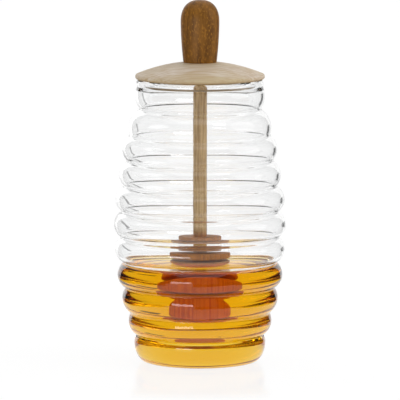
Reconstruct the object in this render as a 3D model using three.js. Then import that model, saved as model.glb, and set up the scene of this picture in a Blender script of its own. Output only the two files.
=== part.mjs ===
// Glass honey pot: a ribbed jar in the shape of a beehive, with honey in its lower third, closed by a turned
// wooden lid with a knob, below which a grooved dipper stands in the honey.
// Millimetres, +Z up, origin in the middle of the foot.
import * as THREE from "three";

// Facets round every turned piece. The jar and the honey share them, so that their walls stay parallel.
const SEGMENTS = 32;

// Jar: grooves run round the wall at an even pitch, and a rounded rib bulges out between each two.
const FOOT_RADIUS = 25;
const BASE_BULGE = { radius: 30.8, height: 9.0 };
const FOOT_GROOVE = { radius: 29.5, height: 12.6 };
const FIRST_GROOVE_HEIGHT = 23.1;
const RIB_PITCH = 11.92;
const GROOVE_RADII = [32.6, 34.8, 35.4, 36.6, 36.4, 35.4, 33.8, 32.6];
const NECK_GROOVE = { radius: 28.0, height: 118.9 };
const LIP_GROOVE = { radius: 29.5, height: 129.3 };
const RIB_BULGES = [2.3, 2.6, 3.6, 3.8, 3.8, 3.6, 3.2, 3.1, 2.6, 1.5];
const LIP = { outerRadius: 29.8, innerRadius: 26.7, top: 133 };
const LIP_FLAT = 1.0;
const WALL = 2.5;
const FLOOR = 4.0;
const FLOOR_RADIUS = 22;
const INNER_BASE_RAISE = 2;
const INNER_BULGE_SHARE = 0.9;
const RIB_STEPS = { outer: 5, inner: 4 };
const BASE_STEPS = 4;

// Honey: fills the jar to its level, and keeps a hair's gap to the glass and to the dipper.
const HONEY_LEVEL = 45.5;
const GAP = 0.3;

// Dipper: a stem below the lid and a head of turned discs with grooves between them.
const STEM_RADIUS = 3.2;
const HEAD_BOTTOM = 20.6;
const DISC_PITCH = 5.6;
const DISC_THICKNESS = 3.9;
const DISC_RADII = [8.2, 9.6, 12.2, 13.2, 14.0, 14.2, 10.1];
const DISC_EDGE = 0.8;

// Lid: a shallow dome with a rounded edge and a flat seat for the knob.
const LID_EDGE = { radius: 30.3, height: 134.1 };
const LID_DOME_EDGE = { radius: 29.5, height: 135.3 };
const LID_CROWN_RISE = 5.9;
const LID_UNDERSIDE_RADIUS = 29.4;
const LID_STEPS = { edge: 3, dome: 6 };

// Knob: a tapered grip with a domed end.
const KNOB_BASE_RADIUS = 7.8;
const KNOB = { radius: 9.05, widest: 159.5, top: 170 };
const KNOB_SIDE_BULGE = 0.25;
const KNOB_DOME_POWER = 2.4;
const KNOB_STEPS = { side: 4, dome: 8 };

const point = (radius, height) => new THREE.Vector2(radius, height);

// Points after `from` on the arc to `to`, which bulges away from the axis.
function bulgedArc(from, to, bulge, steps) {
  const chord = to.clone().sub(from);
  const half = chord.length() / 2;
  const arcRadius = (half * half + bulge * bulge) / (2 * bulge);
  const along = chord.clone().normalize();
  const outward = point(along.y, -along.x);
  const centre = from.clone().add(to).multiplyScalar(0.5).addScaledVector(outward, bulge - arcRadius);
  const halfAngle = Math.asin(half / arcRadius);
  return Array.from({ length: steps }, (_, i) => {
    const angle = halfAngle * ((2 * (i + 1)) / steps - 1);
    return centre
      .clone()
      .addScaledVector(along, arcRadius * Math.sin(angle))
      .addScaledVector(outward, arcRadius * Math.cos(angle));
  });
}

// Points after `from` on a quarter turn that leaves it level and reaches `to` upright.
function cornerArc(from, to, steps) {
  return Array.from({ length: steps }, (_, i) => {
    const angle = ((i + 1) / steps) * (Math.PI / 2);
    return point(
      from.x + (to.x - from.x) * Math.sin(angle),
      to.y - (to.y - from.y) * Math.cos(angle),
    );
  });
}

// The groove that ends each rib, from the lowest rib up.
const ribEnds = [
  ...GROOVE_RADII.map((radius, i) => ({ radius, height: FIRST_GROOVE_HEIGHT + RIB_PITCH * i })),
  NECK_GROOVE,
  LIP_GROOVE,
];

// The ribbed wall from the edge of a floor up to the lip, moved in towards the axis by `inset`.
function ribbedWall(inset, floorEdge, baseRaise, bulgeShare, steps) {
  const base = point(BASE_BULGE.radius - inset, BASE_BULGE.height + baseRaise);
  const wall = [floorEdge, ...cornerArc(floorEdge, base, BASE_STEPS)];
  wall.push(point(FOOT_GROOVE.radius - inset, FOOT_GROOVE.height));
  ribEnds.forEach((end, i) => {
    const groove = point(end.radius - inset, end.height);
    wall.push(...bulgedArc(wall.at(-1), groove, RIB_BULGES[i] * bulgeShare, steps));
  });
  return wall;
}

// The outside of the jar's wall, and its inside, which `gap` moves further in.
const outerWall = () => ribbedWall(0, point(FOOT_RADIUS, 0), 0, 1, RIB_STEPS.outer);
const innerWall = (gap) =>
  ribbedWall(
    WALL + gap,
    point(FLOOR_RADIUS, FLOOR + gap),
    INNER_BASE_RAISE,
    INNER_BULGE_SHARE,
    RIB_STEPS.inner,
  );

function jarProfile() {
  const lipMiddle = (LIP.outerRadius + LIP.innerRadius) / 2;
  const lipSide = (LIP.top + LIP_GROOVE.height) / 2;
  return [
    point(0, 0),
    ...outerWall(),
    point(LIP.outerRadius, lipSide - LIP_FLAT / 2),
    point(LIP.outerRadius, lipSide + LIP_FLAT / 2),
    point(lipMiddle + LIP_FLAT / 2, LIP.top),
    point(lipMiddle - LIP_FLAT / 2, LIP.top),
    point(LIP.innerRadius, lipSide),
    ...innerWall(0).reverse(),
    point(0, FLOOR),
  ];
}

// The part of a rising profile that lies below `level`, ended on it.
function belowLevel(profile, level) {
  const above = profile.findIndex((p) => p.y > level);
  const [low, high] = [profile[above - 1], profile[above]];
  return [...profile.slice(0, above), low.clone().lerp(high, (level - low.y) / (high.y - low.y))];
}

// The dipper's head from its underside up to the stem, grown by `clearance` on every side.
function headProfile(clearance) {
  const profile = [];
  DISC_RADII.forEach((discRadius, i) => {
    const bottom = HEAD_BOTTOM + DISC_PITCH * i - clearance;
    const top = bottom + DISC_THICKNESS + 2 * clearance;
    const radius = discRadius + clearance;
    const core = i ? STEM_RADIUS + clearance : 0;
    profile.push(
      point(core, bottom),
      point(radius - DISC_EDGE, bottom),
      point(radius, bottom + DISC_EDGE),
      point(radius, top - DISC_EDGE),
      point(radius - DISC_EDGE, top),
      point(STEM_RADIUS + clearance, top),
    );
  });
  return profile;
}

function honeyProfile() {
  return [
    point(0, FLOOR + GAP),
    ...belowLevel(innerWall(GAP), HONEY_LEVEL),
    ...belowLevel(headProfile(GAP), HONEY_LEVEL).reverse(),
  ];
}

function dipperProfile() {
  return [...headProfile(0), point(STEM_RADIUS, LIP.top), point(0, LIP.top)];
}

// The lid's dome is part of a sphere through its crown and its edge, cut level where the knob stands.
const sphereRadius = (LID_DOME_EDGE.radius ** 2 + LID_CROWN_RISE ** 2) / (2 * LID_CROWN_RISE);
const sphereCentre = LID_DOME_EDGE.height + LID_CROWN_RISE - sphereRadius;
const domeHeight = (radius) => sphereCentre + Math.sqrt(sphereRadius ** 2 - radius ** 2);
const knobSeat = domeHeight(KNOB_BASE_RADIUS);

function lidProfile() {
  const domeEdge = point(LID_DOME_EDGE.radius, LID_DOME_EDGE.height);
  const edge = point(LID_EDGE.radius, LID_EDGE.height);
  const dome = Array.from({ length: LID_STEPS.dome }, (_, i) => {
    const share = (i + 1) / LID_STEPS.dome;
    const radius = THREE.MathUtils.lerp(LID_DOME_EDGE.radius, KNOB_BASE_RADIUS, share);
    return point(radius, domeHeight(radius));
  });
  return [
    point(0, LIP.top),
    point(LID_UNDERSIDE_RADIUS, LIP.top),
    ...cornerArc(domeEdge, edge, LID_STEPS.edge).reverse(),
    domeEdge,
    ...dome,
    point(0, knobSeat),
  ];
}

function knobProfile() {
  const base = point(KNOB_BASE_RADIUS, knobSeat);
  const widest = point(KNOB.radius, KNOB.widest);
  const dome = Array.from({ length: KNOB_STEPS.dome }, (_, i) => {
    const angle = ((i + 1) / KNOB_STEPS.dome) * (Math.PI / 2);
    return point(
      KNOB.radius * Math.max(Math.cos(angle), 0) ** (2 / KNOB_DOME_POWER),
      KNOB.widest + (KNOB.top - KNOB.widest) * Math.sin(angle) ** (2 / KNOB_DOME_POWER),
    );
  });
  dome.at(-1).x = 0;
  return [point(0, knobSeat), base, ...bulgedArc(base, widest, KNOB_SIDE_BULGE, KNOB_STEPS.side), ...dome];
}

// A profile turned about the Z axis, as a named mesh.
function turned(name, profile, material) {
  const geometry = new THREE.LatheGeometry(profile, SEGMENTS).rotateX(Math.PI / 2);
  const mesh = new THREE.Mesh(geometry, material);
  mesh.name = name;
  return mesh;
}

const glass = new THREE.MeshStandardMaterial({
  color: 0xf2f4f3,
  roughness: 0.03,
  metalness: 0,
  transparent: true,
  opacity: 0.3,
});
const amberHoney = new THREE.MeshStandardMaterial({
  color: 0xe6a512,
  roughness: 0.05,
  metalness: 0,
  transparent: true,
  opacity: 0.85,
});
const paleBeech = new THREE.MeshStandardMaterial({ color: 0xc4b291, roughness: 0.6, metalness: 0 });
const stemBeech = new THREE.MeshStandardMaterial({ color: 0xa5875a, roughness: 0.6, metalness: 0 });
const oiledAcacia = new THREE.MeshStandardMaterial({ color: 0x8a5f2c, roughness: 0.4, metalness: 0 });

const honeyPot = new THREE.Group();
honeyPot.name = "honey_pot";
honeyPot.add(
  turned("glass_jar", jarProfile(), glass),
  turned("honey", honeyProfile(), amberHoney),
  turned("dipper", dipperProfile(), stemBeech),
  turned("lid", lidProfile(), paleBeech),
  turned("knob", knobProfile(), oiledAcacia),
);

export default honeyPot;
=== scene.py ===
import math

import bmesh
import bpy
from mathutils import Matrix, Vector, noise


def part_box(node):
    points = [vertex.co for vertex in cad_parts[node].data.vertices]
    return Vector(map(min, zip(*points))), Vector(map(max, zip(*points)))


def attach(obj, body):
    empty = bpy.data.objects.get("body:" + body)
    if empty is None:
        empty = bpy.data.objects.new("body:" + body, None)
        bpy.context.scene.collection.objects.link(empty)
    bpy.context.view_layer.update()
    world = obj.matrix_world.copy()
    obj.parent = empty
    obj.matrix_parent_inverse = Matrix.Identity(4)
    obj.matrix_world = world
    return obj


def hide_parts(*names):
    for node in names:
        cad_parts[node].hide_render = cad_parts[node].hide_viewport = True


# Glass honey pot: a ribbed jar with honey, a wooden dipper, a domed lid and a knob, built round its solids.
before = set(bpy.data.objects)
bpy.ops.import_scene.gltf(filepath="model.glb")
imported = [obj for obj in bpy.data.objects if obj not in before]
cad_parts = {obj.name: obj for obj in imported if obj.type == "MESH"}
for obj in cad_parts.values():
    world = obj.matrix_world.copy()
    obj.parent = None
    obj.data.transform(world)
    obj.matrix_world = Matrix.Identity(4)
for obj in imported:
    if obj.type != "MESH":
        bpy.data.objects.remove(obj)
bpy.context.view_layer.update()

bl_info = {
    "name": "Glass honey pot",
    "version": (1, 0, 0),
    "blender": (4, 5, 0),
    "location": "View3D > Sidebar > Honey pot",
    "description": "Builds a ribbed glass honey pot with honey, a wooden dipper, a lid and a knob",
    "category": "Object",
}

MM = 0.001
BODY = "root"

# Two points of a profile that are closer than this are one point.
WELD = 0.002 * MM
# Steps round the turned pieces.
GLASS_STEPS = 160
WOOD_STEPS = 96
# Edges that turn by more than this stay crisp.
CRISP_ANGLE = math.radians(38)

# Steps along the curved stretches of the profiles.
RIB_STEPS = 14
GROOVE_STEPS = 9
BASE_STEPS = 12
BEAD_STEPS = 24
DISC_EDGE_STEPS = 4
MENISCUS_STEPS = 8
UNDERSIDE_STEPS = 5
LID_EDGE_STEPS = 6
DOME_STEPS = 16
KNOB_SIDE_STEPS = 12
KNOB_DOME_STEPS = 20
# Share of each rib's arc that stays when the grooves beside it are rounded off.
RIB_SHARE = 0.78
# Where the section of the lip's bead begins on the outside, and how far it turns, in degrees.
BEAD_START = -40
BEAD_TURN = 250
# Places on the pushed-up foot: shares of its radius, each with the share of the push-up that it has.
PUSH_UP_SHARES = ((0, 1), (0.5, 0.75), (0.85, 0.1))
# Shares of the way in over the jar's floor, and over the honey's surface, where rings of points lie.
FLOOR_SHARES = (0.66, 0.33, 0)
SURFACE_SHARES = (0.25, 0.5, 0.75)
# How square the knob's domed end is. A ball would have 2.
KNOB_DOME_POWER = 2.4
# Gap that the solids keep between the honey and the glass.
HONEY_GAP = 0.3 * MM
# Start of the waves in the blown wall.
WAVER_SEED = 3

# How strongly a surface bends light, its index of refraction.
GLASS_BEND = 1.5
HONEY_BEND = 1.49
NO_BEND = 1.0
# Share of red, green and blue that glass lets through.
GLASS_TINT = (0.978, 0.98, 0.98, 1)
# How quickly the honey takes light away.
HONEY_DENSITY = 90.0
# A face that looks up by more than this is the jar's floor, or the honey's free surface.
FLOOR_LOOKS_UP = 0.5
SURFACE_LOOKS_UP = 0.3
# How far below its level the honey's free surface may reach.
SURFACE_MARGIN = 0.1 * MM

# Wood: relief of its fibres, heights where the dipper's tones change, and height of the painted shade along
# the lid's lower rim.
FIBRE_DEPTH = 0.05 * MM
FIBRE_STRENGTH = 0.5
FIBRE_DETAIL = 3.0
SOAKED_FADE = 1.0 * MM
FILM_FADE_START = 58 * MM
FILM_FADE_END = 64 * MM
SHADED_RIM_HEIGHT = 1.6 * MM

# Paper: its own light, the light it scatters, and the mirroring that fades out round the pot's foot.
PAPER_HALF_WIDTH = 20
PAPER_DROP = 0.2 * MM
PAPER_GLOW = 0.93
PAPER_SCATTER = (0.08, 0.08, 0.08, 1)
SHEEN_ROUGHNESS = 0.12
SHEEN_SHARE = 0.11
SHEEN_FULL = 90 * MM
SHEEN_GONE = 125 * MM

# Studio: the bright wall behind, the ceiling and the window. Each has the way to its middle, the angles in
# degrees from there where it is still full and where it is gone, and its strength. The room is dim.
PANELS = (
    ((0.25, 1.0, 0.1), 75, 95, 1.0),
    ((0, 0, 1), 34, 46, 1.15),
    ((1.0, -0.15, 0.45), 20, 32, 2.6),
)
ROOM_STRENGTH = 0.2

# Softbox and camera: places and sizes in metres, power in watts, lens and sensor in millimetres.
AIM = Vector((0, 0, 0.076))
SOFTBOX_PLACE = Vector((-0.61, -1.148, 0.15))
SOFTBOX_SIZE = (0.8, 0.3)
SOFTBOX_POWER = 4.2
CAMERA_PLACE = Vector((0, -2.3, 0.35))
CAMERA_LENS = 445
CAMERA_SENSOR = 36
# How often light may turn on its way through the glass.
MOST_BOUNCES = 22
MOST_TRANSMISSIONS = 20
MOST_MIRRORINGS = 6
MOST_PASSES = 16

# Dark cards out of the picture, each by its corners in metres. The glass shows the first ones through its
# wall, as dark lines near its edges, and mirrors the others, so that little white lies over the honey.
CARDS_BEHIND = (
    ((-0.049, 0.3, 0.001), (-0.325, 2.0, 0.001), (-0.38, 2.0, 0.001), (-0.057, 0.3, 0.001)),
    ((0.12, 0.33, 0.001), (1.82, 5.0, 0.001), (3.64, 5.0, 0.001), (0.24, 0.33, 0.001)),
)
SHADE_BEHIND = 0.2
CARDS_MIRRORED = (
    ((-0.018, -0.125, 0.001), (-0.2, -1.4, 0.001), (1.0, -1.4, 0.001), (1.0, -0.125, 0.001)),
    ((-0.14, -0.125, 0.001), (-1.5, -1.35, 0.001), (-1.5, -0.125, 0.001)),
    ((-0.11, -0.125, 0.001), (-0.3, -0.125, 0.001), (-0.3, 0.38, 0.001), (-0.11, 0.14, 0.001)),
    ((0.11, -0.125, 0.001), (0.3, -0.125, 0.001), (0.3, 0.45, 0.001), (0.11, 0.165, 0.001)),
    ((-0.3, -0.35, 0.001), (-0.3, 0.38, 0.001), (-0.3, 0.38, 0.6), (-0.3, -0.35, 0.6)),
    ((0.3, -0.6, 0.001), (0.3, 0.45, 0.001), (0.3, 0.45, 0.6), (0.3, -0.6, 0.6)),
)
SHADE_MIRRORED = 0.04

# Light cards out of the picture, each by its corners in metres, with its strength. Gloss alone mirrors the
# strip at the left back. The fill in front is seen only through glass, so that no line in it goes black.
STRIP = ((-0.12, 0.5, 0.001), (-0.36, 0.45, 0.001), (-0.36, 0.45, 0.5), (-0.12, 0.5, 0.5))
STRIP_STRENGTH = 1.35
FILL = ((-2.0, -1.2, 0.001), (2.0, -1.2, 0.001), (2.0, -1.2, 1.8), (-2.0, -1.2, 1.8))
FILL_STRENGTH = 0.7

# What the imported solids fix: where each piece begins and ends.
FLOOR_OF_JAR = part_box("honey")[0].z - HONEY_GAP
LIP_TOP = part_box("glass_jar")[1].z
HONEY_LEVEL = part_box("honey")[1].z
HEAD_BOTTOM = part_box("dipper")[0].z
STEM_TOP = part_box("dipper")[1].z
LID_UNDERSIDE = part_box("lid")[0].z
LID_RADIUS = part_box("lid")[1].x
KNOB_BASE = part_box("knob")[0].z
KNOB_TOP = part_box("knob")[1].z
KNOB_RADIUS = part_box("knob")[1].x


def linear(code):
    """The linear red, green and blue of an sRGB colour such as #c8b291."""
    shares = [int(code[i : i + 2], 16) / 255 for i in (1, 3, 5)]
    return [s / 12.92 if s <= 0.04045 else ((s + 0.055) / 1.055) ** 2.4 for s in shares]


def length(name, description, millimetres):
    """A length that a user may change, given in millimetres and kept in metres."""
    return bpy.props.FloatProperty(
        name=name, description=description, default=millimetres * MM, unit="LENGTH", precision=5
    )


def lengths(name, description, *millimetres):
    """A row of lengths that a user may change."""
    return bpy.props.FloatVectorProperty(
        name=name,
        description=description,
        default=[m * MM for m in millimetres],
        size=len(millimetres),
        unit="LENGTH",
        precision=5,
    )


def colour(name, description, code):
    """A colour that a user may change, given as an sRGB hex value."""
    return bpy.props.FloatVectorProperty(
        name=name, description=description, default=linear(code), size=3, subtype="COLOR", min=0, max=1
    )


class JarSizes(bpy.types.PropertyGroup):
    """Sizes of the glass jar."""

    foot: length("Foot", "Radius of the flat that the jar stands on", 25.0)
    base: lengths("Base bulge", "Radius and height of the widest place of the base", 30.8, 9.0)
    foot_groove: lengths("Foot groove", "Radius and height of the groove above the base", 29.5, 12.6)
    first_groove: length("First groove", "Height of the lowest of the evenly spaced grooves", 23.1)
    pitch: length("Rib pitch", "Height from one groove to the next", 11.92)
    groove_radii: lengths(
        "Groove radii",
        "Radius at the bottom of each evenly spaced groove, from the lowest up",
        *(32.6, 34.8, 35.4, 36.6, 36.4, 35.4, 33.8, 32.6),
    )
    neck_groove: lengths("Neck groove", "Radius and height of the groove under the neck", 28.0, 118.9)
    lip_groove: lengths("Lip groove", "Radius and height of the groove under the lip", 29.5, 129.3)
    bulges: lengths(
        "Rib bulges",
        "How far each rib stands out between its grooves, from the lowest up",
        *(2.3, 2.6, 3.6, 3.8, 3.8, 3.6, 3.2, 3.1, 2.6, 1.5),
    )
    base_bulge: length("Base rounding", "How far the base stands out above its widest place", 0.34)
    lip: lengths("Lip", "Outer and inner radius of the rounded lip", 29.8, 26.3)
    lip_height: length("Lip height", "Height of the rounded lip", 4.0)
    wall: length("Wall", "Thickness of the glass", 1.6)
    floor_radius: length("Floor radius", "Radius of the flat floor inside", 22.0)
    push_up: length("Push-up", "How far the middle of the foot is pushed up", 0.8)
    unevenness: length("Unevenness", "How far the blown wall wanders from a true circle", 0.2)
    unevenness_size: length("Unevenness size", "Width of one wave of that wander", 16.0)


class HoneySizes(bpy.types.PropertyGroup):
    """Sizes of the honey."""

    into_wall: length("Into wall", "How far the honey reaches into the glass and the wood", 0.25)
    meniscus: lengths("Meniscus", "Width and height of the rise at the glass", 2.4, 0.9)


class DipperSizes(bpy.types.PropertyGroup):
    """Sizes of the dipper."""

    stem: length("Stem", "Radius of the stem", 3.2)
    pitch: length("Disc pitch", "Height from one disc of the head to the next", 5.6)
    thickness: length("Disc thickness", "Thickness of each disc", 3.9)
    radii: lengths(
        "Disc radii", "Radius of each disc, from the lowest up", *(8.2, 9.6, 12.2, 13.2, 14.0, 14.2, 10.1)
    )
    edge: length("Disc edge", "Radius of the rounding on each disc's edge", 0.8)


class LidSizes(bpy.types.PropertyGroup):
    """Sizes of the lid and the knob."""

    underside: length("Underside", "Radius of the flat underside", 29.2)
    widest: length("Widest", "Height of the widest place above the underside", 1.1)
    dome_edge: lengths("Dome edge", "Radius, and height above the underside, of the dome's edge", 29.5, 2.3)
    rise: length("Rise", "Height of the dome above its edge", 5.9)
    knob_base: length("Knob base", "Radius of the knob where it stands on the lid", 7.8)
    knob_widest: length("Knob widest", "Height of the knob's widest place below its top", 10.5)
    knob_bulge: length("Knob bulge", "How far the knob's side curves out", 0.25)


class Colours(bpy.types.PropertyGroup):
    """Colours of the materials."""

    honey: colour("Honey", "Light that a thick layer of honey lets through", "#fbec3c")
    beech_pale: colour("Pale beech", "Light wood of the lid", "#d2c5b6")
    beech_warm: colour("Warm beech", "Broad yellower bands of the lid", "#c2b08c")
    beech_dark: colour("Beech grain", "Darker fibres of the lid", "#b89f7c")
    # Painted shade: the lid's lower rim is darkened in its colour, standing in for the shade under its
    # edge.
    rim_painted_shade: colour("Rim painted shade", "Painted shade on the lid's lower rim", "#9c825a")
    stem_pale: colour("Stem beech", "Light wood of the dipper", "#d0b07c")
    stem_dark: colour("Stem grain", "Darker fibres of the dipper", "#a6804a")
    soaked_pale: colour("Soaked beech", "Wood of the dipper where honey has soaked it", "#e07e30")
    soaked_dark: colour("Soaked grain", "Darker fibres where honey has soaked the dipper", "#ca6226")
    filmed_pale: colour("Sticky beech", "Wood of the dipper under a film of honey", "#ba782e")
    filmed_dark: colour("Sticky grain", "Darker fibres under a film of honey", "#9a5c1c")
    acacia_pale: colour("Pale acacia", "Light bands of the knob", "#82561f")
    acacia_dark: colour("Dark acacia", "Dark streaks of the knob", "#664218")
    acacia_gold: colour("Golden acacia", "Golden flecks of the knob", "#986624")
    paper: colour("Paper", "Seamless paper that the pot stands on", "#ffffff")


class HoneyPot(bpy.types.PropertyGroup):
    """All the settings of the honey pot."""

    jar: bpy.props.PointerProperty(type=JarSizes)
    honey: bpy.props.PointerProperty(type=HoneySizes)
    dipper: bpy.props.PointerProperty(type=DipperSizes)
    lid: bpy.props.PointerProperty(type=LidSizes)
    colours: bpy.props.PointerProperty(type=Colours)


# Profiles. Each is a list of points with the radius in X and the height in Z.


def at(radius, height):
    """A point of a profile."""
    return Vector((radius, 0, height))


def bulged_arc(start, end, bulge, steps, keep=1.0):
    """Points on the middle share keep of the arc from start to end that bulges away from the axis."""
    chord = end - start
    half = chord.length / 2
    radius = (half * half + bulge * bulge) / (2 * bulge)
    along = chord.normalized()
    outward = at(along.z, -along.x)
    centre = (start + end) / 2 + outward * (bulge - radius)
    reach = keep * math.asin(half / radius)
    angles = [reach * (2 * i / steps - 1) for i in range(steps + 1)]
    return [centre + along * radius * math.sin(a) + outward * radius * math.cos(a) for a in angles]


def rounded(start, corner, end, steps):
    """Points strictly between start and end on the curve that rounds a corner off."""
    shares = [i / steps for i in range(1, steps)]
    return [start * (1 - t) ** 2 + corner * 2 * t * (1 - t) + end * t**2 for t in shares]


def quarter_turn(start, end, steps):
    """Points after start on a quarter turn that leaves it level and reaches end upright."""
    angles = [i / steps * math.pi / 2 for i in range(1, steps + 1)]
    return [
        at(
            start.x + (end.x - start.x) * math.sin(a),
            end.z - (end.z - start.z) * math.cos(a),
        )
        for a in angles
    ]


def cut_at(profile, height):
    """The points of a rising profile up to a height, ended on it, and the rest, begun on it."""
    above = next(i for i, point in enumerate(profile) if point.z > height)
    low, high = profile[above - 1], profile[above]
    middle = low.lerp(high, (height - low.z) / (high.z - low.z))
    return profile[:above] + [middle], [middle] + profile[above:]


def beside(profile, distance):
    """A rising profile moved in towards the axis by a distance, square to itself at every point."""
    before = [profile[0], *profile[:-1]]
    after = [*profile[1:], profile[-1]]
    alongs = [(b - a).normalized() for a, b in zip(before, after)]
    return [point + at(-along.z, along.x) * distance for point, along in zip(profile, alongs)]


def outer_ribs(jar):
    """The outside of the wall from the base's widest place up to the lip, with rounded grooves."""
    ends = [at(*jar.base), at(*jar.foot_groove)]
    ends += [at(radius, jar.first_groove + jar.pitch * i) for i, radius in enumerate(jar.groove_radii)]
    ends += [at(*jar.neck_groove), at(*jar.lip_groove)]
    bulges = [jar.base_bulge, *jar.bulges]
    rows = zip(ends, ends[1:], bulges)
    ribs = [bulged_arc(low, high, bulge, RIB_STEPS, RIB_SHARE) for low, high, bulge in rows]
    wall = list(ribs[0])
    for groove, rib in zip(ends[1:], ribs[1:]):
        wall += [*rounded(wall[-1], groove, rib[0], GROOVE_STEPS), *rib]
    return wall


def inner_wall(jar, into_wall=0.0):
    """The inside of the jar from the edge of its floor up to the lip, moved into the glass by into_wall."""
    floor_edge = at(jar.floor_radius, FLOOR_OF_JAR - into_wall)
    ribs = beside(outer_ribs(jar), jar.wall - into_wall)
    return [floor_edge, *quarter_turn(floor_edge, ribs[0], BASE_STEPS), *ribs[1:]]


def jar_profile(jar, wet_height):
    """The whole section of the jar, from the middle of its foot round to the middle of its floor."""
    foot_edge = at(jar.foot, 0)
    ribs = outer_ribs(jar)
    foot = [at(jar.foot * out, jar.push_up * up) for out, up in PUSH_UP_SHARES]
    outside = [*foot, foot_edge, *quarter_turn(foot_edge, ribs[0], BASE_STEPS), *ribs[1:]]
    lip_outer, lip_inner = jar.lip
    middle = at((lip_outer + lip_inner) / 2, LIP_TOP - jar.lip_height / 2)
    angles = [math.radians(BEAD_START + BEAD_TURN * i / BEAD_STEPS) for i in range(BEAD_STEPS + 1)]
    bead = [
        middle
        + at(
            (lip_outer - lip_inner) / 2 * math.cos(a),
            jar.lip_height / 2 * math.sin(a),
        )
        for a in angles
    ]
    wet, dry = cut_at(inner_wall(jar), wet_height)
    floor = [at(jar.floor_radius * share, wet[0].z) for share in FLOOR_SHARES]
    return outside + bead + dry[::-1] + wet[-2::-1] + floor


def head_profile(dipper, shrink=0.0):
    """The head from its underside up to the stem, with rounded discs, shrunk on every side."""
    profile = []
    edge = dipper.edge
    core = dipper.stem - shrink
    angles = [math.pi / 2 * i / DISC_EDGE_STEPS for i in range(DISC_EDGE_STEPS + 1)]
    for i, full in enumerate(dipper.radii):
        bottom = HEAD_BOTTOM + dipper.pitch * i + shrink
        top = bottom + dipper.thickness - 2 * shrink
        radius = full - shrink
        rim = [at(radius - edge + edge * math.sin(a), edge * (1 - math.cos(a))) for a in angles]
        lower = [at(point.x, bottom + point.z) for point in rim]
        upper = [at(point.x, top - point.z) for point in rim]
        profile += [at(core if i else 0, bottom), *lower, *upper[::-1], at(core, top)]
    return profile


def honey_profile(jar, honey, dipper):
    """The filling, from the middle of the floor up the wall, in over the level and down the dipper."""
    width, height = honey.meniscus
    side, _ = cut_at(inner_wall(jar, honey.into_wall), HONEY_LEVEL + height)
    shares = [i / MENISCUS_STEPS for i in range(MENISCUS_STEPS + 1)]
    top = side[-1]
    surface = [at(top.x - honey.into_wall - width * s, HONEY_LEVEL + height * (1 - s) ** 2) for s in shares]
    sunk, _ = cut_at(head_profile(dipper, honey.into_wall), HONEY_LEVEL)
    inward = [surface[-1].lerp(sunk[-1], s) for s in SURFACE_SHARES]
    return [at(0, side[0].z), *side, *surface, *inward, *sunk[::-1]]


def dipper_profile(dipper):
    """The head, and the stem up to the lid."""
    return [*head_profile(dipper), at(dipper.stem, STEM_TOP), at(0, STEM_TOP)]


def dome_height(lid, radius):
    """Height of the lid's dome, part of a sphere through its crown and its edge."""
    edge_radius, edge_height = lid.dome_edge
    sphere = (edge_radius**2 + lid.rise**2) / (2 * lid.rise)
    centre = LID_UNDERSIDE + edge_height + lid.rise - sphere
    return centre + math.sqrt(sphere**2 - radius**2)


def lid_profile(lid):
    """The lid, from its flat underside round its edge and over the dome to the knob's seat."""
    widest = at(LID_RADIUS, LID_UNDERSIDE + lid.widest)
    dome_edge = at(lid.dome_edge[0], LID_UNDERSIDE + lid.dome_edge[1])
    underside = at(lid.underside, LID_UNDERSIDE)
    across = lid.knob_base - dome_edge.x
    radii = [dome_edge.x + across * i / DOME_STEPS for i in range(1, DOME_STEPS + 1)]
    dome = [at(radius, dome_height(lid, radius)) for radius in radii]
    return [
        at(0, LID_UNDERSIDE),
        underside,
        *quarter_turn(underside, widest, UNDERSIDE_STEPS),
        *quarter_turn(dome_edge, widest, LID_EDGE_STEPS)[-2::-1],
        dome_edge,
        *dome,
        at(0, dome[-1].z),
    ]


def knob_profile(lid):
    """The knob, from its seat on the lid up its tapered side and over its domed end."""
    base = at(lid.knob_base, KNOB_BASE)
    widest = at(KNOB_RADIUS, KNOB_TOP - lid.knob_widest)
    power = 2 / KNOB_DOME_POWER
    angles = [math.pi / 2 * i / KNOB_DOME_STEPS for i in range(1, KNOB_DOME_STEPS)]
    dome = [
        at(
            widest.x * math.cos(a) ** power,
            widest.z + lid.knob_widest * math.sin(a) ** power,
        )
        for a in angles
    ]
    side = bulged_arc(base, widest, lid.knob_bulge, KNOB_SIDE_STEPS)
    return [at(0, KNOB_BASE), *side, *dome, at(0, KNOB_TOP)]


# Meshes.


def turn(profile, steps):
    """A closed shape: a profile that begins and ends on the axis, turned once round it."""
    shape = bmesh.new()
    points = [shape.verts.new(point) for point in profile]
    line = [shape.edges.new(pair) for pair in zip(points, points[1:])]
    bmesh.ops.spin(
        shape,
        geom=points + line,
        cent=(0, 0, 0),
        axis=(0, 0, 1),
        angle=math.tau,
        steps=steps,
        use_merge=True,
    )
    bmesh.ops.remove_doubles(shape, verts=shape.verts, dist=WELD)
    bmesh.ops.recalc_face_normals(shape, faces=shape.faces)
    return shape


def is_wetted(face, jar, wet_height):
    """Whether a face is part of the jar's inside that the honey touches."""
    middle = face.calc_center_median()
    inwards = face.normal.x * middle.x + face.normal.y * middle.y < 0
    over_floor = face.normal.z > FLOOR_LOOKS_UP and middle.z < jar.foot_groove[1]
    return MM < middle.z < wet_height and (inwards or over_floor)


def waver(shape, amount, size, seed):
    """Moves each point in or out a little, in soft waves, as blown glass wanders."""
    for vert in shape.verts:
        out = Vector((vert.co.x, vert.co.y, 0))
        if out.length > MM:
            vert.co += out.normalized() * amount * noise.noise(vert.co / size + Vector((seed, seed, seed)))


def add_piece(context, name, shape, materials, node):
    """Makes a shape a piece that rides on the pot and stands for a node."""
    mesh = bpy.data.meshes.new(name)
    for face in shape.faces:
        face.smooth = True
    shape.to_mesh(mesh)
    shape.free()
    mesh.set_sharp_from_angle(angle=CRISP_ANGLE)
    for material in materials:
        mesh.materials.append(material)
    piece = bpy.data.objects.new(name, mesh)
    context.scene.collection.objects.link(piece)
    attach(piece, BODY)
    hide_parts(node)
    return piece


# Materials.


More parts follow.
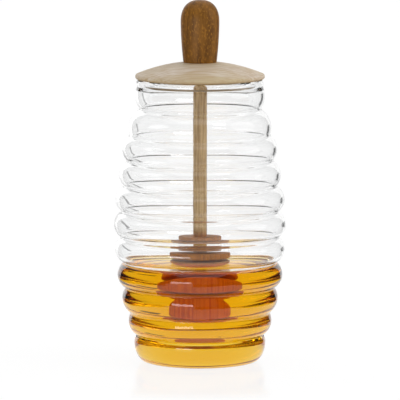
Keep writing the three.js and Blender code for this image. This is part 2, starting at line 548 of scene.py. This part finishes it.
def add_node(tree, kind, inputs=None, **settings):
    """Adds a node with its settings, and sets or links each of the inputs that are named."""
    node = tree.nodes.new(kind)
    for key, value in settings.items():
        setattr(node, key, value)
    for socket, value in (inputs or {}).items():
        if isinstance(value, bpy.types.NodeSocket):
            tree.links.new(value, node.inputs[socket])
        else:
            node.inputs[socket].default_value = value
    return node


def new_material(name):
    """An empty material and its node tree."""
    material = bpy.data.materials.new(name)
    material.use_nodes = True
    material.node_tree.nodes.clear()
    return material, material.node_tree


def solid(value):
    """A colour with nothing see-through about it."""
    return (*value, 1.0)


def blown_glass():
    """Borosilicate glass, blown: clear and smooth, with a bright gloss and dark lines where it bends."""
    material, tree = new_material("Blown borosilicate glass")
    surface = add_node(
        tree,
        "ShaderNodeBsdfPrincipled",
        {"Base Color": GLASS_TINT, "Roughness": 0.0, "IOR": GLASS_BEND, "Transmission Weight": 1.0},
    )
    add_node(tree, "ShaderNodeOutputMaterial", {"Surface": surface.outputs["BSDF"]})
    return material


def wet_glass():
    """Glass against honey, which bends light almost alike: light passes as if nothing were there."""
    material, tree = new_material("Glass wetted by honey")
    surface = add_node(
        tree,
        "ShaderNodeBsdfPrincipled",
        {"Base Color": (1, 1, 1, 1), "Roughness": 0.0, "IOR": NO_BEND, "Transmission Weight": 1.0},
    )
    add_node(tree, "ShaderNodeOutputMaterial", {"Surface": surface.outputs["BSDF"]})
    return material


def amber_honey(colours):
    """Clear honey: it only takes light away, blue first, and bends it at its free surface alone."""
    material, tree = new_material("Clear amber honey")
    step = add_node(tree, "ShaderNodeAttribute", attribute_name="light_step")
    surface = add_node(
        tree,
        "ShaderNodeBsdfPrincipled",
        {
            "Base Color": (1, 1, 1, 1),
            "Roughness": 0.0,
            "IOR": step.outputs["Fac"],
            "Transmission Weight": 1.0,
        },
    )
    volume = add_node(
        tree, "ShaderNodeVolumeAbsorption", {"Color": solid(colours.honey), "Density": HONEY_DENSITY}
    )
    add_node(
        tree,
        "ShaderNodeOutputMaterial",
        {"Surface": surface.outputs["BSDF"], "Volume": volume.outputs["Volume"]},
    )
    return material


def grain(tree, sizes, low, high):
    """The share of the darker tone, in streaks of the given sizes in millimetres along X, Y and Z."""
    place = add_node(tree, "ShaderNodeTexCoord")
    along = add_node(
        tree,
        "ShaderNodeMapping",
        {"Vector": place.outputs["Object"], "Scale": [1 / (size * MM) for size in sizes]},
    )
    streaks = add_node(
        tree,
        "ShaderNodeTexNoise",
        {"Vector": along.outputs["Vector"], "Scale": 1.0, "Detail": FIBRE_DETAIL},
    )
    share = add_node(
        tree,
        "ShaderNodeMapRange",
        {"Value": streaks.outputs["Fac"], "From Min": low, "From Max": high},
        interpolation_type="SMOOTHSTEP",
    )
    return share.outputs["Result"]


def upward(tree, low, high):
    """A share that rises from 0 at one height to 1 at another."""
    place = add_node(tree, "ShaderNodeTexCoord")
    parts = add_node(tree, "ShaderNodeSeparateXYZ", {"Vector": place.outputs["Object"]})
    share = add_node(
        tree,
        "ShaderNodeMapRange",
        {"Value": parts.outputs["Z"], "From Min": low, "From Max": high},
        interpolation_type="SMOOTHSTEP",
    )
    return share.outputs["Result"]


def blend(tree, share, first, second):
    """A colour that goes from the first to the second as a share rises."""
    mixed = add_node(
        tree, "ShaderNodeMix", {"Factor": share, 6: first, 7: second}, data_type="RGBA"
    )
    return mixed.outputs[2]


def finish_wood(tree, tone, relief, roughness, gloss):
    """Gives a wood its colour, the fine relief of its fibres and its gloss."""
    bump = add_node(
        tree,
        "ShaderNodeBump",
        {"Height": relief, "Distance": FIBRE_DEPTH, "Strength": FIBRE_STRENGTH},
    )
    surface = add_node(
        tree,
        "ShaderNodeBsdfPrincipled",
        {
            "Base Color": tone,
            "Roughness": roughness,
            "Specular IOR Level": gloss,
            "Normal": bump.outputs["Normal"],
        },
    )
    add_node(tree, "ShaderNodeOutputMaterial", {"Surface": surface.outputs["BSDF"]})


def lid_beech(colours):
    """Beech, turned and sanded: pale and dry, with fine fibres across it, and painted shade that darkens
    its lower rim.
    """
    material, tree = new_material("Sanded beech")
    fibres = grain(tree, (16, 0.9, 0.9), low=0.35, high=0.7)
    bands = grain(tree, (60, 12, 12), low=0.35, high=0.65)
    tone = blend(tree, bands, solid(colours.beech_pale), solid(colours.beech_warm))
    tone = blend(tree, fibres, tone, solid(colours.beech_dark))
    # Painted shade: the wood darkens towards the lower rim, standing in for the shade under the lid's edge.
    rim = upward(tree, LID_UNDERSIDE, LID_UNDERSIDE + SHADED_RIM_HEIGHT)
    tone = blend(tree, rim, solid(colours.rim_painted_shade), tone)
    finish_wood(tree, tone, fibres, roughness=0.55, gloss=0.4)
    return material


def dipper_beech(colours):
    """Beech, turned: golden along the stem, brown under a film of honey, and orange where it is soaked."""
    material, tree = new_material("Turned beech")
    fibres = grain(tree, (0.9, 0.9, 18), low=0.35, high=0.7)
    dry = blend(tree, fibres, solid(colours.stem_pale), solid(colours.stem_dark))
    soaked = blend(tree, fibres, solid(colours.soaked_pale), solid(colours.soaked_dark))
    filmed = blend(tree, fibres, solid(colours.filmed_pale), solid(colours.filmed_dark))
    out_of_honey = upward(tree, HONEY_LEVEL - SOAKED_FADE, HONEY_LEVEL + SOAKED_FADE)
    tone = blend(tree, out_of_honey, soaked, filmed)
    tone = blend(tree, upward(tree, FILM_FADE_START, FILM_FADE_END), tone, dry)
    finish_wood(tree, tone, fibres, roughness=0.5, gloss=0.3)
    return material


def knob_acacia(colours):
    """Acacia, oiled: brown with darker streaks along it, and small golden flecks."""
    material, tree = new_material("Oiled acacia")
    streaks = grain(tree, (2.2, 2.2, 16), low=0.35, high=0.68)
    flecks = grain(tree, (0.7, 0.7, 1.6), low=0.5, high=0.7)
    tone = blend(tree, streaks, solid(colours.acacia_pale), solid(colours.acacia_dark))
    tone = blend(tree, flecks, tone, solid(colours.acacia_gold))
    finish_wood(tree, tone, streaks, roughness=0.42, gloss=0.15)
    return material


def seamless_paper(colours):
    """Seamless paper on a light table: white all over, with a trace of the pot mirrored near its foot."""
    material, tree = new_material("Seamless white paper")
    glow = add_node(tree, "ShaderNodeEmission", {"Color": solid(colours.paper), "Strength": PAPER_GLOW})
    matte = add_node(tree, "ShaderNodeBsdfDiffuse", {"Color": PAPER_SCATTER})
    lit = add_node(tree, "ShaderNodeAddShader", {0: glow.outputs[0], 1: matte.outputs[0]})
    sheen = add_node(
        tree, "ShaderNodeBsdfAnisotropic", {"Color": (1, 1, 1, 1), "Roughness": SHEEN_ROUGHNESS}
    )
    place = add_node(tree, "ShaderNodeTexCoord")
    away = add_node(tree, "ShaderNodeVectorMath", {0: place.outputs["Object"]}, operation="LENGTH")
    share = add_node(
        tree,
        "ShaderNodeMapRange",
        {
            "Value": away.outputs["Value"],
            "From Min": SHEEN_FULL,
            "From Max": SHEEN_GONE,
            "To Min": SHEEN_SHARE,
            "To Max": 0.0,
        },
        interpolation_type="SMOOTHSTEP",
    )
    both = add_node(
        tree,
        "ShaderNodeMixShader",
        {0: share.outputs["Result"], 1: lit.outputs[0], 2: sheen.outputs[0]},
    )
    add_node(tree, "ShaderNodeOutputMaterial", {"Surface": both.outputs[0]})
    return material


def add_stage_piece(context, name, shape, material):
    """Makes a shape a part of the stage, which the pot leaves behind."""
    mesh = bpy.data.meshes.new(name)
    shape.to_mesh(mesh)
    shape.free()
    mesh.materials.append(material)
    piece = bpy.data.objects.new(name, mesh)
    context.scene.collection.objects.link(piece)
    return piece


def add_card(context, name, corners, material, mirrored):
    """Adds a card that the camera doesn't see: gloss mirrors it, or else it shows through glass."""
    shape = bmesh.new()
    shape.faces.new([shape.verts.new(corner) for corner in corners])
    card = add_stage_piece(context, name, shape, material)
    card.visible_camera = False
    card.visible_diffuse = False
    card.visible_shadow = False
    card.visible_glossy = mirrored
    card.visible_transmission = not mirrored


def face_aim(thing):
    """Turns a light or a camera towards the middle of the picture."""
    thing.rotation_euler = (AIM - thing.location).to_track_quat("-Z", "Y").to_euler()


def dark_card(shade):
    """Dark card of a shade between 0 and 1: it gives the glass its dark lines, and the honey its depth."""
    material, tree = new_material("Dark card")
    matte = add_node(tree, "ShaderNodeBsdfDiffuse", {"Color": (shade, shade, shade, 1)})
    add_node(tree, "ShaderNodeOutputMaterial", {"Surface": matte.outputs[0]})
    return material


def light_card(strength):
    """A light behind a diffuser: it gives the pot pale edges, and keeps its dark lines from going black."""
    material, tree = new_material("Light card")
    glow = add_node(tree, "ShaderNodeEmission", {"Color": (1, 1, 1, 1), "Strength": strength})
    add_node(tree, "ShaderNodeOutputMaterial", {"Surface": glow.outputs[0]})
    return material


def studio_world():
    """A bright wall behind the pot, a bright ceiling, a window on the right and a dim room elsewhere."""
    world = bpy.data.worlds.new("Studio")
    world.use_nodes = True
    tree = world.node_tree
    tree.nodes.clear()
    way = add_node(tree, "ShaderNodeTexCoord")
    light = None
    for axis, full, gone, strength in PANELS:
        closeness = add_node(
            tree,
            "ShaderNodeVectorMath",
            {0: way.outputs["Generated"], 1: Vector(axis).normalized()},
            operation="DOT_PRODUCT",
        )
        panel = add_node(
            tree,
            "ShaderNodeMapRange",
            {
                "Value": closeness.outputs["Value"],
                "From Min": math.cos(math.radians(gone)),
                "From Max": math.cos(math.radians(full)),
                "To Min": ROOM_STRENGTH,
                "To Max": strength,
            },
            interpolation_type="SMOOTHSTEP",
        )
        if light is None:
            light = panel.outputs["Result"]
        else:
            light = add_node(
                tree, "ShaderNodeMath", {0: light, 1: panel.outputs["Result"]}, operation="MAXIMUM"
            ).outputs["Value"]
    room = add_node(tree, "ShaderNodeBackground", {"Color": (1, 1, 1, 1), "Strength": light})
    add_node(tree, "ShaderNodeOutputWorld", {"Surface": room.outputs["Background"]})
    return world


# Operators.


class HONEYPOT_OT_jar(bpy.types.Operator):
    """Add the ribbed glass jar"""

    bl_idname = "honey_pot.jar"
    bl_label = "Glass jar"

    def execute(self, context):
        pot = context.scene.honey_pot
        jar = pot.jar
        wet_height = HONEY_LEVEL + pot.honey.meniscus[1]
        shape = turn(jar_profile(jar, wet_height), GLASS_STEPS)
        for face in shape.faces:
            face.material_index = int(is_wetted(face, jar, wet_height))
        waver(shape, jar.unevenness, jar.unevenness_size, WAVER_SEED)
        add_piece(context, "jar_glass", shape, [blown_glass(), wet_glass()], "glass_jar")
        return {"FINISHED"}


class HONEYPOT_OT_honey(bpy.types.Operator):
    """Add the honey, which fills the jar up to its level"""

    bl_idname = "honey_pot.honey"
    bl_label = "Honey"

    def execute(self, context):
        pot = context.scene.honey_pot
        shape = turn(honey_profile(pot.jar, pot.honey, pot.dipper), GLASS_STEPS)
        step = shape.faces.layers.float.new("light_step")
        for face in shape.faces:
            height = face.calc_center_median().z
            free = face.normal.z > SURFACE_LOOKS_UP and height > HONEY_LEVEL - SURFACE_MARGIN
            face[step] = HONEY_BEND if free else NO_BEND
        add_piece(context, "honey_fill", shape, [amber_honey(pot.colours)], "honey")
        return {"FINISHED"}


class HONEYPOT_OT_dipper(bpy.types.Operator):
    """Add the dipper with its grooved head"""

    bl_idname = "honey_pot.dipper"
    bl_label = "Dipper"

    def execute(self, context):
        pot = context.scene.honey_pot
        shape = turn(dipper_profile(pot.dipper), WOOD_STEPS)
        add_piece(context, "dipper_wood", shape, [dipper_beech(pot.colours)], "dipper")
        return {"FINISHED"}


class HONEYPOT_OT_lid(bpy.types.Operator):
    """Add the domed lid"""

    bl_idname = "honey_pot.lid"
    bl_label = "Lid"

    def execute(self, context):
        pot = context.scene.honey_pot
        shape = turn(lid_profile(pot.lid), WOOD_STEPS)
        add_piece(context, "lid_wood", shape, [lid_beech(pot.colours)], "lid")
        return {"FINISHED"}


class HONEYPOT_OT_knob(bpy.types.Operator):
    """Add the knob on the lid"""

    bl_idname = "honey_pot.knob"
    bl_label = "Knob"

    def execute(self, context):
        pot = context.scene.honey_pot
        shape = turn(knob_profile(pot.lid), WOOD_STEPS)
        add_piece(context, "knob_wood", shape, [knob_acacia(pot.colours)], "knob")
        return {"FINISHED"}


class HONEYPOT_OT_stage(bpy.types.Operator):
    """Add the paper, the studio light and the camera"""

    bl_idname = "honey_pot.stage"
    bl_label = "Stage"

    def execute(self, context):
        scene = context.scene
        pot = scene.honey_pot
        sheet = bmesh.new()
        bmesh.ops.create_grid(sheet, x_segments=1, y_segments=1, size=PAPER_HALF_WIDTH)
        bmesh.ops.translate(sheet, verts=sheet.verts, vec=(0, 0, -PAPER_DROP))
        add_stage_piece(context, "paper", sheet, seamless_paper(pot.colours))
        scene.world = studio_world()

        shown_through = dark_card(SHADE_BEHIND)
        for corners in CARDS_BEHIND:
            add_card(context, "dark_card", corners, shown_through, mirrored=False)
        shown_in_gloss = dark_card(SHADE_MIRRORED)
        for corners in CARDS_MIRRORED:
            add_card(context, "dark_card", corners, shown_in_gloss, mirrored=True)
        add_card(context, "light_card", STRIP, light_card(STRIP_STRENGTH), mirrored=True)
        add_card(context, "light_card", FILL, light_card(FILL_STRENGTH), mirrored=False)

        softbox = bpy.data.lights.new("softbox", "AREA")
        softbox.shape = "RECTANGLE"
        softbox.size, softbox.size_y = SOFTBOX_SIZE
        softbox.energy = SOFTBOX_POWER
        box = bpy.data.objects.new("softbox", softbox)
        box.location = SOFTBOX_PLACE
        face_aim(box)
        box.visible_camera = False
        scene.collection.objects.link(box)

        lens = bpy.data.cameras.new("camera")
        lens.lens = CAMERA_LENS
        lens.sensor_width = CAMERA_SENSOR
        camera = bpy.data.objects.new("camera", lens)
        camera.location = CAMERA_PLACE
        face_aim(camera)
        scene.collection.objects.link(camera)
        scene.camera = camera

        scene.view_settings.view_transform = "Standard"
        scene.cycles.max_bounces = MOST_BOUNCES
        scene.cycles.transmission_bounces = MOST_TRANSMISSIONS
        scene.cycles.glossy_bounces = MOST_MIRRORINGS
        scene.cycles.transparent_max_bounces = MOST_PASSES
        return {"FINISHED"}


class HONEYPOT_PT_panel(bpy.types.Panel):
    """Lists the pieces of the honey pot"""

    bl_label = "Honey pot"
    bl_idname = "HONEYPOT_PT_panel"
    bl_space_type = "VIEW_3D"
    bl_region_type = "UI"
    bl_category = "Honey pot"

    def draw(self, context):
        for operator in OPERATORS:
            self.layout.operator(operator.bl_idname)


OPERATORS = (
    HONEYPOT_OT_jar,
    HONEYPOT_OT_honey,
    HONEYPOT_OT_dipper,
    HONEYPOT_OT_lid,
    HONEYPOT_OT_knob,
    HONEYPOT_OT_stage,
)
CLASSES = (JarSizes, HoneySizes, DipperSizes, LidSizes, Colours, HoneyPot, *OPERATORS, HONEYPOT_PT_panel)


def register():
    for cls in CLASSES:
        bpy.utils.register_class(cls)
    bpy.types.Scene.honey_pot = bpy.props.PointerProperty(type=HoneyPot)


def unregister():
    del bpy.types.Scene.honey_pot
    for cls in reversed(CLASSES):
        bpy.utils.unregister_class(cls)


def main():
    register()
    bpy.ops.honey_pot.stage()
    bpy.ops.honey_pot.jar()
    bpy.ops.honey_pot.honey()
    bpy.ops.honey_pot.dipper()
    bpy.ops.honey_pot.lid()
    bpy.ops.honey_pot.knob()


if __name__ == "__main__":
    main()
